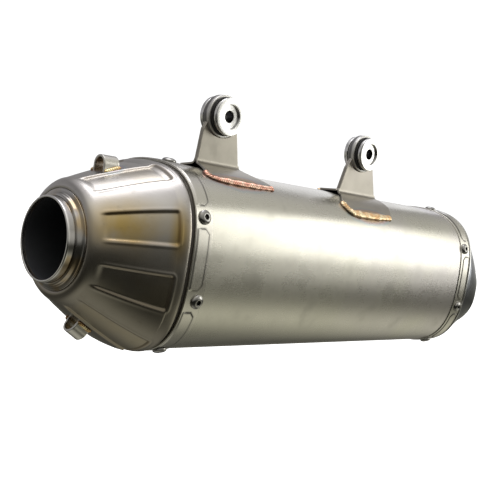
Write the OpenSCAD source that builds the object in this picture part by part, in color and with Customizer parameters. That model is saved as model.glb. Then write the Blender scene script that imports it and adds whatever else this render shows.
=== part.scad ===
// Off-road motorcycle exhaust muffler: an oval sleeve round a straight perforated core, closed by a
// stamped inlet cone and a cut-back outlet cap, with two welded hangers and two spring hooks.
// The origin is the centre of the inlet mouth. +X runs along the core to the outlet, +Z is up and
// -Y is the outer side, which the bush flanges face. All sizes are in millimetres.

/* [Body] */
// Half width of the oval sleeve
body_half_width = 53.6; // [52:0.1:55]
// Height of the sleeve above the core axis
body_top = 56; // [55:0.1:57.5]
// Depth of the sleeve below the core axis
body_bottom = 64; // [62:0.1:66]
// Squareness of the upper half of the oval, 2 being an ellipse
top_squareness = 2.65; // [2.5:0.05:2.8]
// Squareness of the lower half of the oval
bottom_squareness = 2.8; // [2.5:0.05:3]
// Wall of the outer sleeve
sleeve_wall = 1; // [0.8:0.1:1]
// Front end of the outer sleeve
sleeve_start = 69; // [68.5:0.5:72]
// Rear end of the outer sleeve
sleeve_end = 396; // [392:0.5:396.5]

/* [Inlet] */
// Radius of the slip-fit inlet bore
inlet_bore_r = 24; // [23:0.1:24]
// Wall of the inlet pipe
pipe_wall = 1.5; // [1.2:0.1:1.5]
// Length of the inlet pipe behind its mouth
inlet_length = 66; // [60:1:70]
// Radius of the cone just behind its neck
cone_neck_r = 37.2; // [36:0.1:38]
// Wall of the inlet cone
cone_wall = 1.3; // [1.1:0.1:1.5]

/* [Outlet] */
// Radius of the outlet bore
outlet_bore_r = 21.6; // [20:0.1:21.6]
// Height of the outlet centre, below the core axis
outlet_z = -12.5; // [-13:0.1:-12]
// End of the outlet pipe
outlet_end = 440; // [438:0.5:442]
// Wall of the outlet cap
cap_wall = 1.6; // [1.3:0.1:1.8]

/* [Bands and screws] */
// Thickness of each clamp band
band_thick = 0.6; // [0.5:0.1:1]
// Width of each clamp band
band_width = 14; // [13:0.5:15]
// Height of the pressed panels between the screws
panel_rise = 0.35; // [0.3:0.1:0.7]
// Radius of the screw shanks
screw_r = 2.5; // [2:0.5:2.5]
// Radius of the button heads
screw_head_r = 4.5; // [4:0.1:4.7]
// Height of the button heads
screw_head_h = 2.1; // [1.9:0.1:2.75]

/* [Core] */
// Inside radius of the perforated core, which slides over the inlet pipe
core_bore_r = 25.55; // [25.55:0.01:25.6]
// Wall of the perforated core
core_wall = 1.2; // [1:0.1:1.4]
// Radius of each hole in the core
core_hole_r = 2; // [1:0.5:3]
// Number of rows of holes along the core
core_hole_rows = 20; // [8:1:24]

/* [Hangers] */
// Thickness of the hanger sheet
sheet = 1.5; // [1.2:0.1:1.5]
// Distance from the inlet mouth to the front hanger eye
front_eye_x = 118.7; // [117:0.1:120]
// Height of the front hanger eye above the core axis
front_eye_z = 92.4; // [90:0.1:94]
// Distance from the inlet mouth to the rear hanger eye
rear_eye_x = 261.4; // [260:0.1:263]
// Height of the rear hanger eye above the core axis
rear_eye_z = 89.3; // [88:0.1:91]
// Outside radius of the hanger rings
ring_r = 14.3; // [14:0.1:14.5]
// Inside radius of the hanger rings
ring_bore_r = 11.95; // [11.95:0.01:12.2]
// Radius of the bolt hole through each bush
bolt_r = 4; // [3:0.05:4.2]

/* [Spring hooks] */
// Inside radius of the bent strip
hook_bore_r = 4.2; // [4.15:0.05:4.5]
// Thickness of the strip
hook_strip = 1.5; // [1.2:0.1:1.6]
// Length of the strip along the cone
hook_length = 10.8; // [8:0.1:11]

/* [Hidden] */
$fn = 96;

STEEL = [0.66, 0.64, 0.6];
BRIGHT = [0.78, 0.77, 0.74];
DARK_STEEL = [0.3, 0.32, 0.35];
GOLD_STEEL = [0.62, 0.55, 0.4];
RUBBER = [0.13, 0.13, 0.13];
WELD = [0.7, 0.55, 0.35];
WOOL = [0.75, 0.7, 0.55];

// Clearances: a loose gap between neighbours, a running fit and the room left for a screw
gap = 0.3;
fit = 0.05;
screw_room = 0.25;
oval_seg = 96;
loft_seg = 64;

inlet_band_x = 68.3;
outlet_band_x = 382.8;
flange_wall = 1.5;
flange_drop = sleeve_wall + 0.1;
cone_rim_x = 67.2;
cap_rim_x = 397.2;
band_rise = fit + band_thick;
pipe_outer_r = inlet_bore_r + pipe_wall;
core_outer_r = core_bore_r + core_wall;
outlet_outer_r = outlet_bore_r + 1.4;

// ---- Oval section ------------------------------------------------------------------------------

function oval_r(t, half, top, bottom) =
    let (up = sin(t) >= 0, n = up ? top_squareness : bottom_squareness, b = up ? top : bottom)
    pow(pow(abs(cos(t)) / half, n) + pow(abs(sin(t)) / b, n), -1 / n);

// Points [y, z] of an oval, its centre lifted by zc
function oval(half, top, bottom, seg, zc = 0) =
    [for (i = [0:seg - 1]) let (t = 360 * i / seg, r = oval_r(t, half, top, bottom))
        [r * cos(t), zc + r * sin(t)]];

// The sleeve's own outline, grown by d
function sleeve_oval(d) =
    oval(body_half_width + d, body_top + d, body_bottom + d, oval_seg);

// Heights of the sleeve's upper and lower surfaces at y, and its side at a height z
function top_z(y) =
    body_top * pow(1 - pow(abs(y) / body_half_width, top_squareness), 1 / top_squareness);
function low_z(y) =
    -body_bottom * pow(1 - pow(abs(y) / body_half_width, bottom_squareness), 1 / bottom_squareness);
function side_y(z) =
    let (n = z >= 0 ? top_squareness : bottom_squareness, b = z >= 0 ? body_top : body_bottom)
    body_half_width * pow(1 - pow(abs(z) / b, n), 1 / n);

// Lean of the surface normal from straight up, at a point of the sleeve
function lean(y, z) =
    let (n = z >= 0 ? top_squareness : bottom_squareness, b = z >= 0 ? body_top : body_bottom,
         gy = sign(y) * pow(abs(y) / body_half_width, n - 1) / body_half_width,
         gz = sign(z) * pow(abs(z) / b, n - 1) / b)
    atan2(-gy, gz);

// ---- Shape helpers -----------------------------------------------------------------------------

// Prism along X from points [y, z]
module prism_x(x0, x1, points) {
    translate([x0, 0, 0])
        rotate([90, 0, 90])
            linear_extrude(x1 - x0)
                polygon(points);
}

// Oval tube that follows the sleeve's outline
module oval_tube(x0, x1, outer_d, inner_d) {
    difference() {
        prism_x(x0, x1, sleeve_oval(outer_d));
        prism_x(x0 - 1, x1 + 1, sleeve_oval(inner_d));
    }
}

module rod_x(x0, x1, r) {
    translate([x0, 0, 0])
        rotate([0, 90, 0])
            cylinder(h = x1 - x0, r = r);
}

// Turned pieces: points are [radius, place along the axis]
module turned_x(points) {
    rotate([0, 90, 0])
        rotate_extrude()
            polygon(points);
}

module turned_y(points) {
    rotate([-90, 0, 0])
        rotate_extrude()
            polygon(points);
}

// Closed skin through rings of equal count; the last ring joins the first
module ring_shell(rings) {
    count = len(rings);
    seg = len(rings[0]);
    polyhedron(
        points = [for (ring = rings) each ring],
        faces = [for (j = [0:count - 1], i = [0:seg - 1])
            let (k = (j + 1) % count, m = (i + 1) % seg,
                 a = j * seg + i, b = j * seg + m, c = k * seg + m, d = k * seg + i)
            each [[a, b, c], [a, c, d]]],
        convexity = 6
    );
}

// Ring of [x, y, z] points from an oval, and from a circle
function oval_ring(x, half, top, bottom, zc = 0) =
    [for (p = oval(half, top, bottom, loft_seg, zc)) [x, p[0], p[1]]];
function round_ring(x, r, zc = 0) =
    [for (i = [0:loft_seg - 1]) let (t = 360 * i / loft_seg) [x, r * cos(t), zc + r * sin(t)]];
function blend_ring(a, b, w) =
    [for (i = [0:len(a) - 1]) a[i] * (1 - w) + b[i] * w];

// ---- Screws ------------------------------------------------------------------------------------

// Places [x offset, y, z] of the seven screws of a band, evenly spaced from the top one round
// the near side
screw_spots = [
    [0, -10, top_z(-10)],
    [-0.5, -side_y(26), 26],
    [2.5, -side_y(-25), -25],
    [0, -28.4, low_z(-28.4)],
    [0, 27.5, low_z(27.5)],
    [0, side_y(-13.3), -13.3],
    [0, side_y(41.3), 41.3]
];

module at_screws(x) {
    for (spot = screw_spots)
        translate([x + spot[0], spot[1], spot[2]])
            rotate([lean(spot[1], spot[2]), 0, 0])
                children();
}

module screw_holes(x) {
    at_screws(x)
        translate([0, 0, -9])
            cylinder(h = 16, r = screw_r + screw_room, $fn = 32);
}

// Button-head screw that stands on the band, with a hexagon socket
module button_screw() {
    seat = band_rise + fit;
    socket_r = 1.75;
    socket_depth = 1.6;
    shank_length = 9.5;
    difference() {
        union() {
            translate([0, 0, seat])
                rotate_extrude($fn = 48)
                    polygon(concat(
                        [[0, 0], [screw_head_r - 0.2, 0], [screw_head_r, 0.5]],
                        [for (a = [15:15:60])
                            [screw_head_r * cos(a), 0.5 + (screw_head_h - 0.5) * sin(a) / sin(60)]],
                        [[0, screw_head_h]]
                    ));
            translate([0, 0, seat - shank_length])
                cylinder(h = shank_length + 0.5, r = screw_r, $fn = 32);
        }
        translate([0, 0, seat + screw_head_h - socket_depth])
            cylinder(h = 5, r = socket_r, $fn = 6);
    }
}

// Round nut under the flange ring
module weld_nut() {
    nut_r = 4;
    nut_h = 4;
    seat_gap = 0.45;
    translate([0, 0, -flange_drop - flange_wall - seat_gap - nut_h])
        difference() {
            cylinder(h = nut_h, r = nut_r, $fn = 32);
            translate([0, 0, -1])
                cylinder(h = nut_h + 2, r = screw_r + fit, $fn = 32);
        }
}

inlet_screw_x = 75.5;
outlet_screw_x = 388.5;

// ---- Sleeve, bands and flanges -----------------------------------------------------------------

module outer_sleeve() {
    color(STEEL)
        difference() {
            oval_tube(sleeve_start, sleeve_end, 0, -sleeve_wall);
            screw_holes(inlet_screw_x);
            screw_holes(outlet_screw_x);
        }
}

// Clamp band with a raised panel pressed out between each pair of screws
module clamp_band(x0, screw_x) {
    panel_margin = 3.5;
    screw_room_angle = 9;
    count = len(screw_spots);
    turns = [for (spot = screw_spots) atan2(spot[2], spot[1])];
    color(BRIGHT)
        difference() {
            union() {
                oval_tube(x0, x0 + band_width, band_rise, fit);
                for (i = [0:count - 1]) {
                    span = (turns[(i + 1) % count] - turns[i] + 360) % 360;
                    intersection() {
                        oval_tube(x0 + panel_margin, x0 + band_width - panel_margin,
                            band_rise + panel_rise, fit);
                        wedge_x(x0, x0 + band_width, turns[i] + screw_room_angle,
                            span - 2 * screw_room_angle);
                    }
                }
            }
            screw_holes(screw_x);
        }
}

// Sector along X between two angles measured from +Y towards +Z
module wedge_x(x0, x1, start, span) {
    reach = 120;
    prism_x(x0, x1, [
        [0, 0],
        reach * [cos(start), sin(start)],
        reach * [cos(start + span / 2), sin(start + span / 2)],
        reach * [cos(start + span), sin(start + span)]
    ]);
}

module inlet_band() {
    clamp_band(inlet_band_x, inlet_screw_x);
}

module outlet_band() {
    clamp_band(outlet_band_x, outlet_screw_x);
}

// Ring under the sleeve that the screws pull against; it carries the cone or the cap
module flange_ring(x0, x1, screw_x) {
    color(STEEL)
        difference() {
            oval_tube(x0, x1, -flange_drop, -flange_drop - flange_wall);
            screw_holes(screw_x);
        }
}

module inlet_flange() {
    flange_ring(cone_rim_x, 84, inlet_screw_x);
}

module outlet_flange() {
    flange_ring(380.5, cap_rim_x, outlet_screw_x);
}

// ---- Inlet -------------------------------------------------------------------------------------

cone_start = 13;
cone_end = 57;
cone_sides = 11;

// Outer and inner skins of the cone: a circle at the neck grows into the sleeve's oval
function cone_ring(x, inset) =
    let (u = (x - cone_start) / (cone_end - cone_start), w = 1 - pow(1 - u, 1.12),
         half = body_half_width - 0.3 - inset, top = body_top - 4.5 - inset,
         bottom = body_bottom + 0.6 - inset)
    blend_ring(round_ring(x, cone_neck_r - inset), oval_ring(x, half, top, bottom), w);

// Ring of the rolled shoulder, grown by d from the sleeve's sides and cut lower on top
function shoulder_ring(x, d, top_d) =
    oval_ring(x, body_half_width + d, body_top + top_d, body_bottom + d);

module inlet_cone() {
    step = (cone_end - cone_start) / cone_sides;
    flare = [for (i = [0:cone_sides]) cone_start + i * step];
    rim_drop = flange_drop + flange_wall;
    color(GOLD_STEEL)
        ring_shell(concat(
            [round_ring(8.6, 32.2), round_ring(9.5, 34.4), round_ring(11, 36)],
            [for (x = flare) cone_ring(x, 0)],
            [shoulder_ring(62, 0.9, -1.5), shoulder_ring(65, 1.3, -0.6),
             shoulder_ring(66.6, 0.7, -0.6), shoulder_ring(cone_rim_x, -0.4, -1.2)],
            [shoulder_ring(cone_rim_x, -rim_drop, -rim_drop),
             shoulder_ring(cone_rim_x - cone_wall, -rim_drop, -rim_drop - 0.4),
             shoulder_ring(62, 0.9 - cone_wall, -1.5 - cone_wall)],
            [for (i = [cone_sides:-1:1]) cone_ring(flare[i], cone_wall)],
            [round_ring(cone_start + 0.5, cone_neck_r - 2), round_ring(11.5, 30.3),
             round_ring(8.6, 30.3)]
        ));
}

module inlet_pipe() {
    color(BRIGHT)
        turned_x([
            [inlet_bore_r, 0], [pipe_outer_r - 0.5, 0], [pipe_outer_r, 0.6],
            [pipe_outer_r, inlet_length], [inlet_bore_r, inlet_length]
        ]);
}

// Stepped collar that closes the neck of the cone round the pipe
module inlet_collar() {
    neck = pipe_outer_r + fit;
    color(BRIGHT)
        turned_x([
            [neck, 4.8], [neck + 1.5, 5.1], [neck + 2.2, 5.9], [neck + 2.4, 7.6],
            [neck + 3.1, 8.1], [30.25, 8.3], [30.25, 12], [neck, 12]
        ]);
}

// ---- Core and packing --------------------------------------------------------------------------

core_start = 55;
core_end = 392;
packing_start = 87;
packing_end = 373.5;
baffle_wall = 2;

module perforated_core() {
    first_row = packing_start + 8;
    row_step = (packing_end - 8 - first_row) / (core_hole_rows - 1);
    reach = 2 * core_outer_r + 4;
    color(DARK_STEEL)
        difference() {
            rod_x(core_start, core_end, core_outer_r);
            rod_x(core_start - 1, core_end + 1, core_bore_r);
            for (row = [0:core_hole_rows - 1], turn = [0, 90])
                translate([first_row + row * row_step, 0, 0])
                    rotate([turn + 45 * (row % 2), 0, 0])
                        translate([0, 0, -reach / 2])
                            cylinder(h = reach, r = core_hole_r, $fn = 24);
        }
}

module packing() {
    color(WOOL)
        difference() {
            prism_x(packing_start, packing_end, sleeve_oval(-sleeve_wall - 0.4));
            rod_x(packing_start - 1, packing_end + 1, core_outer_r + 0.25);
        }
}

module baffle(x0) {
    color(STEEL)
        difference() {
            prism_x(x0, x0 + baffle_wall, sleeve_oval(-sleeve_wall - 0.4));
            rod_x(x0 - 1, x0 + baffle_wall + 1, core_outer_r + 0.1);
        }
}

module front_baffle() {
    baffle(packing_start - 0.5 - baffle_wall);
}

module rear_baffle() {
    baffle(packing_end + 0.5);
}

// ---- Outlet ------------------------------------------------------------------------------------

// Stations of the cap: x, half width, top, bottom and height of the centre
cap_stations = [
    [cap_rim_x, 54.2, 56, 63.4, 0], [404, 54.2, 50, 57, -2], [412, 53.4, 41, 47.5, -5],
    [420, 51.8, 33, 40, -9], [426, 49.6, 28.5, 34, -11], [430, 46, 26.5, 30, -12],
    [432.5, 40, 25.2, 27, -12.5]
];
cap_face_x = 432.5;

function cap_ring(s, inset, shift) =
    oval_ring(s[0] - shift, s[1] - inset, s[2] - inset, s[3] - inset, s[4]);

module outlet_cap() {
    last = len(cap_stations) - 1;
    rim_drop = flange_drop + flange_wall;
    hole_r = outlet_outer_r + 0.1;
    color(DARK_STEEL)
        ring_shell(concat(
            [for (s = cap_stations) cap_ring(s, 0, 0)],
            [round_ring(cap_face_x, hole_r, outlet_z),
             round_ring(cap_face_x - cap_wall, hole_r, outlet_z)],
            [for (i = [last - 1:-1:1]) cap_ring(cap_stations[i], cap_wall, cap_wall / 2)],
            [shoulder_ring(cap_rim_x, -rim_drop, -rim_drop)]
        ));
}

module at_outlet() {
    translate([0, 0, outlet_z])
        children();
}

module outlet_pipe() {
    pipe_start = 401;
    color(BRIGHT)
        at_outlet()
            turned_x([
                [outlet_bore_r, pipe_start], [outlet_outer_r, pipe_start],
                [outlet_outer_r, outlet_end], [outlet_bore_r, outlet_end]
            ]);
}

// Rolled ring round the end of the outlet pipe
module outlet_tip() {
    inner = outlet_outer_r + fit;
    bead_r = 1.4;
    bead_x = outlet_end - 2.2;
    color(BRIGHT)
        at_outlet()
            turned_x(concat(
                [[inner, bead_x - bead_r]],
                [for (a = [-90:22.5:90]) [inner + 0.4 + bead_r * cos(a), bead_x + bead_r * sin(a)]],
                [[inner, bead_x + bead_r]]
            ));
}

// Perforated disc across the inner end of the outlet pipe
module spark_screen() {
    hole_pitch = 5.4;
    color(DARK_STEEL)
        at_outlet()
            difference() {
                rod_x(399.7, 400.7, outlet_outer_r);
                for (ring = [1:3], i = [0:6 * ring - 1])
                    rotate([60 * i / ring, 0, 0])
                        translate([0, ring * hole_pitch, 0])
                            rod_x(399, 402, 1.5, $fn = 24);
            }
}

// Cup that clips the screen to the outlet pipe
module screen_ring() {
    inner = outlet_outer_r + fit;
    color(STEEL)
        at_outlet()
            turned_x([
                [outlet_bore_r, 398.7], [inner + 1.5, 398.7], [inner + 1.5, 407],
                [inner, 407], [inner, 399.6], [outlet_bore_r, 399.6]
            ]);
}

// ---- Hangers -----------------------------------------------------------------------------------

// Each hanger is two bent sheets set back to back, so the fold stands at the plane between them
front_plane = -5.5;
rear_plane = -18.5;
ring_near = -2.2;
ring_far = 3.4;
bush_offset = -0.5;
leg_points = 12;

// Cross-section [y, z] of a bent leg that runs from the fold down to its foot on the sleeve
function leg_section(fold_y, foot_y, lift) =
    let (low = [for (i = [0:leg_points])
        let (t = i / leg_points, y = foot_y + (fold_y - foot_y) * t)
        [y, top_z(y) + gap + lift * t * t]])
    concat(low, [for (i = [leg_points:-1:0]) low[i] + [0, sheet]]);

// One hanger sheet: the leg is trimmed to its plan, and the tab stands on the fold
module hanger_sheet(plane, side, foot_y, lift, plan, tab, eye_x, eye_z) {
    fold_y = plane + side * sheet;
    color(STEEL)
        difference() {
            union() {
                intersection() {
                    prism_x(80, 300, leg_section(plane, foot_y, lift));
                    linear_extrude(100)
                        polygon(plan);
                }
                translate([0, max(plane, fold_y), 0])
                    rotate([90, 0, 0])
                        linear_extrude(sheet)
                            polygon(tab);
            }
            translate([eye_x, 0, eye_z])
                rotate([90, 0, 0])
                    cylinder(h = 120, r = ring_r + fit, center = true);
        }
}

// Outline [x, z] of a tab: its foot, its shoulders and the ears that cradle the ring
function tab_outline(foot_z, foot_x, shoulder_z, shoulder_x, eye_x, eye_z) = [
    [foot_x[0], foot_z], [shoulder_x[0], shoulder_z], [eye_x - 13.6, eye_z - 6],
    [eye_x + 13.6, eye_z - 6], [shoulder_x[1], shoulder_z], [foot_x[1], foot_z]
];

front_lift = 2;
front_near_foot = -33.5;
front_far_foot = 15.5;
rear_lift = 0.2;
rear_near_foot = -42.7;
rear_far_foot = 1.8;

front_fold_z = top_z(front_plane) + gap + front_lift;
rear_fold_z = top_z(rear_plane) + gap + rear_lift;
front_tab = tab_outline(front_fold_z + 0.1, [101, 140.3], 81.9, [102.7, 134.1],
    front_eye_x, front_eye_z);
rear_tab = tab_outline(rear_fold_z + 0.1, [237.6, 285.8], 76.5, [243.7, 277.9],
    rear_eye_x, rear_eye_z);

module front_hanger_near() {
    hanger_sheet(front_plane, -1, front_near_foot, front_lift, [
        [101, front_plane], [101, -7.5], [92.3, -28], [94.5, -32], [112, front_near_foot],
        [150, front_near_foot], [140.3, -7.5], [140.3, front_plane]
    ], front_tab, front_eye_x, front_eye_z);
}

module front_hanger_far() {
    hanger_sheet(front_plane, 1, front_far_foot, front_lift, [
        [101, front_plane], [104, front_far_foot - 3], [107, front_far_foot],
        [141, front_far_foot], [144, front_far_foot - 3], [140.3, front_plane]
    ], front_tab, front_eye_x, front_eye_z);
}

module rear_hanger_near() {
    hanger_sheet(rear_plane, -1, rear_near_foot, rear_lift, [
        [237.6, rear_plane], [237.6, -20.5], [224.5, -37.5], [230, rear_near_foot],
        [281, rear_near_foot], [285.8, -20.5], [285.8, rear_plane]
    ], rear_tab, rear_eye_x, rear_eye_z);
}

module rear_hanger_far() {
    hanger_sheet(rear_plane, 1, rear_far_foot, rear_lift, [
        [237.6, rear_plane], [238.5, rear_far_foot - 3], [241.5, rear_far_foot],
        [281, rear_far_foot], [284, rear_far_foot - 3], [285.8, rear_plane]
    ], rear_tab, rear_eye_x, rear_eye_z);
}

// Moves a piece to the middle of a bush
module at_eye(eye_x, plane, eye_z) {
    translate([eye_x, plane + bush_offset, eye_z])
        children();
}

module hanger_ring() {
    color(BRIGHT)
        turned_y([
            [ring_bore_r, ring_near], [ring_r - 0.5, ring_near], [ring_r, ring_near + 0.5],
            [ring_r, ring_far - 0.5], [ring_r - 0.5, ring_far], [ring_bore_r, ring_far]
        ]);
}

bush_near_face = -8.35;
bush_near_seat = -4.1;
bush_far_seat = 5.1;
bush_far_face = 8.35;
bush_tube_r = 6.9;
lip_r = 13;

// Rubber grommet with a lip on each side of the ring
module grommet() {
    core_r = ring_bore_r - fit;
    bore_r = bush_tube_r + fit;
    color(RUBBER)
        turned_y([
            [bore_r, bush_near_seat + 0.1], [lip_r, bush_near_seat + 0.1],
            [lip_r, ring_near - fit], [core_r, ring_near - fit],
            [core_r, ring_far + fit], [lip_r, ring_far + fit],
            [lip_r, bush_far_seat - 0.1], [bore_r, bush_far_seat - 0.1]
        ]);
}

// Flanged bush: a tube through the grommet with a broad face that has a turned groove
module bush_near() {
    flange_r = 12.6;
    groove = [5.3, 7.8];
    groove_depth = 2.5;
    color(BRIGHT)
        turned_y([
            [bolt_r, bush_near_face], [groove[0], bush_near_face],
            [groove[0], bush_near_face + groove_depth], [groove[1], bush_near_face + groove_depth],
            [groove[1], bush_near_face], [flange_r - 0.5, bush_near_face],
            [flange_r, bush_near_face + 0.5], [flange_r, bush_near_seat],
            [bush_tube_r, bush_near_seat], [bush_tube_r, bush_far_face], [bolt_r, bush_far_face]
        ]);
}

// Loose flange on the far end of the tube
module bush_far() {
    flange_r = 13.2;
    bore_r = bush_tube_r + 0.02;
    color(BRIGHT)
        turned_y([
            [bore_r, bush_far_seat], [flange_r, bush_far_seat], [flange_r, bush_far_face - 0.5],
            [flange_r - 0.5, bush_far_face], [bore_r, bush_far_face]
        ]);
}

module front_hanger_ring() { at_eye(front_eye_x, front_plane, front_eye_z) hanger_ring(); }
module front_grommet() { at_eye(front_eye_x, front_plane, front_eye_z) grommet(); }
module front_bush_near() { at_eye(front_eye_x, front_plane, front_eye_z) bush_near(); }
module front_bush_far() { at_eye(front_eye_x, front_plane, front_eye_z) bush_far(); }
module rear_hanger_ring() { at_eye(rear_eye_x, rear_plane, rear_eye_z) hanger_ring(); }
module rear_grommet() { at_eye(rear_eye_x, rear_plane, rear_eye_z) grommet(); }
module rear_bush_near() { at_eye(rear_eye_x, rear_plane, rear_eye_z) bush_near(); }
module rear_bush_far() { at_eye(rear_eye_x, rear_plane, rear_eye_z) bush_far(); }

// Weld bead on the sleeve along a foot; side is -1 on the near side and 1 on the far side
module foot_bead(x0, x1, foot_y, side) {
    bead_width = 2.8;
    bead_height = 1.7;
    steps = 6;
    low = [for (i = [0:steps])
        let (y = foot_y + side * (fit + bead_width * i / steps)) [y, top_z(y) + fit]];
    color(WELD)
        prism_x(x0, x1, concat(low, [for (i = [steps - 1:-1:0])
            low[i] + [0, bead_height * sqrt(1 - pow(i / steps, 2))]]));
}

module front_hanger_welds() {
    foot_bead(96, 150, front_near_foot, -1);
    foot_bead(107, 141, front_far_foot, 1);
}

module rear_hanger_welds() {
    foot_bead(230, 281, rear_near_foot, -1);
    foot_bead(242, 281, rear_far_foot, 1);
}

// ---- Spring hooks ------------------------------------------------------------------------------

top_hook_x = 36;
top_hook_apex = 53.6;
top_slope = -18.9;
top_foot_z = 45.7;
bottom_hook_x = 32.9;
bottom_hook_z = -50.9;
bottom_slope = 33;
bottom_hook_height = 8.2;
hook_outer_r = hook_bore_r + hook_strip;
hook_bead_r = 1.35;

// Bent strip over a tunnel along X; the crown's outside is at height z = 0
module hook_arch(leg) {
    translate([-hook_length / 2, 0, -hook_outer_r])
        rotate([90, 0, 90])
            linear_extrude(hook_length)
                difference() {
                    union() {
                        circle(hook_outer_r);
                        translate([-hook_outer_r, -leg])
                            square([2 * hook_outer_r, leg]);
                    }
                    circle(hook_bore_r);
                    translate([-hook_bore_r, -leg - 1])
                        square([2 * hook_bore_r, leg + 1]);
                    translate([-2 * hook_outer_r, -leg - 2 * hook_outer_r])
                        square([4 * hook_outer_r, 2 * hook_outer_r]);
                }
}

// Half space under a sloping surface, which trims the feet of a hook
module below(x, z, slope) {
    translate([x, 0, z])
        rotate([0, slope, 0])
            translate([-50, -50, -50])
                cube([100, 100, 50]);
}

module top_spring_hook() {
    color(GOLD_STEEL)
        difference() {
            translate([top_hook_x, 0, top_hook_apex])
                hook_arch(10);
            below(top_hook_x, top_foot_z, top_slope);
        }
}

module bottom_spring_hook() {
    color(GOLD_STEEL)
        translate([bottom_hook_x, 0, bottom_hook_z])
            rotate([0, bottom_slope, 0])
                mirror([0, 0, 1])
                    translate([0, 0, bottom_hook_height])
                        hook_arch(bottom_hook_height - hook_outer_r - 0.5);
}

// Pair of beads beside the feet of a hook
module hook_beads() {
    for (side = [-1, 1])
        translate([0, side * (hook_outer_r + hook_bead_r + fit), hook_bead_r + 0.1])
            rod_x(-hook_length / 2 + 0.5, hook_length / 2 - 0.5, hook_bead_r, $fn = 32);
}

module top_hook_welds() {
    color(WELD)
        translate([top_hook_x, 0, top_foot_z - 0.6])
            rotate([0, top_slope, 0])
                hook_beads();
}

module bottom_hook_welds() {
    color(WELD)
        translate([bottom_hook_x, 0, bottom_hook_z])
            rotate([0, bottom_slope, 0])
                mirror([0, 0, 1])
                    hook_beads();
}

// ---- Fasteners ---------------------------------------------------------------------------------

module inlet_screws() {
    color(BRIGHT)
        at_screws(inlet_screw_x)
            button_screw();
}

module outlet_screws() {
    color(BRIGHT)
        at_screws(outlet_screw_x)
            button_screw();
}

module inlet_weld_nuts() {
    color(STEEL)
        at_screws(inlet_screw_x)
            weld_nut();
}

module outlet_weld_nuts() {
    color(STEEL)
        at_screws(outlet_screw_x)
            weld_nut();
}

outer_sleeve();
inlet_band();
outlet_band();
inlet_cone();
inlet_flange();
inlet_pipe();
inlet_collar();
perforated_core();
packing();
front_baffle();
rear_baffle();
outlet_flange();
outlet_cap();
outlet_pipe();
outlet_tip();
spark_screen();
screen_ring();
front_hanger_near();
front_hanger_far();
front_hanger_ring();
front_grommet();
front_bush_near();
front_bush_far();
front_hanger_welds();
rear_hanger_near();
rear_hanger_far();
rear_hanger_ring();
rear_grommet();
rear_bush_near();
rear_bush_far();
rear_hanger_welds();
top_spring_hook();
bottom_spring_hook();
top_hook_welds();
bottom_hook_welds();
inlet_screws();
outlet_screws();
inlet_weld_nuts();
outlet_weld_nuts();
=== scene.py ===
import math

import bpy
import numpy as np
from mathutils import Matrix, Vector


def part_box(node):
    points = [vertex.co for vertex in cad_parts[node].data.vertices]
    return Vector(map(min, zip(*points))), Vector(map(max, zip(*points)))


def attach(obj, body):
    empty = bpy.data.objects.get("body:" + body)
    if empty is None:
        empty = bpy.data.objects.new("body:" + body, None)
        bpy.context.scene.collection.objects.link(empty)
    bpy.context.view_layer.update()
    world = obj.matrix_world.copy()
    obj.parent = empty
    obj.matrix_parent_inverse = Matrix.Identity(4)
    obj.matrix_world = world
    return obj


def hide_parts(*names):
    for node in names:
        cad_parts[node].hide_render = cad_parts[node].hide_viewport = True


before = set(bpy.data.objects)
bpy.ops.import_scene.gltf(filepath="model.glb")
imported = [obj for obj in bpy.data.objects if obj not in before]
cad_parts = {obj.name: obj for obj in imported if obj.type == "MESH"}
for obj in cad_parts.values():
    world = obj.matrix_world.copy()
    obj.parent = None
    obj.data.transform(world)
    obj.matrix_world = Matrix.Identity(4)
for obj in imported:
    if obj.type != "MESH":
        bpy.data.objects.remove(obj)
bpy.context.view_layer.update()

MM = 0.001


def box_mm(node):
    """Lowest and highest corners of a CAD node, in millimetres."""
    lo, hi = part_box(node)
    return np.array(lo) / MM, np.array(hi) / MM


def direction(azimuth, elevation):
    """Unit vector; azimuth 0 is -Y and 90 is +X."""
    a, e = math.radians(azimuth), math.radians(elevation)
    return np.array([math.sin(a) * math.cos(e), -math.cos(a) * math.cos(e), math.sin(e)])


# ---- Camera ----

CAMERA_PLACE = (-248.24, -401.59, 45.65)
CAMERA_AZIMUTH = -46.305
CAMERA_ELEVATION = 4.135
CAMERA_ROLL = math.radians(9.265)
CAMERA_LENS = 57.29


def make_camera():
    back = Vector(direction(CAMERA_AZIMUTH, CAMERA_ELEVATION))
    level = Vector((0, 0, 1)).cross(back).normalized()
    upright = back.cross(level)
    right = math.cos(CAMERA_ROLL) * level + math.sin(CAMERA_ROLL) * upright
    up = -math.sin(CAMERA_ROLL) * level + math.cos(CAMERA_ROLL) * upright
    data = bpy.data.cameras.new("camera")
    data.lens = CAMERA_LENS
    data.sensor_width = 36
    data.clip_start = 0.01
    camera = bpy.data.objects.new("camera", data)
    bpy.context.collection.objects.link(camera)
    place = Matrix((right, up, back)).transposed().to_4x4()
    place.translation = Vector(CAMERA_PLACE) * MM
    camera.matrix_world = place
    bpy.context.scene.camera = camera


make_camera()

# ---- Sizes taken from the frame ----

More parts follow.
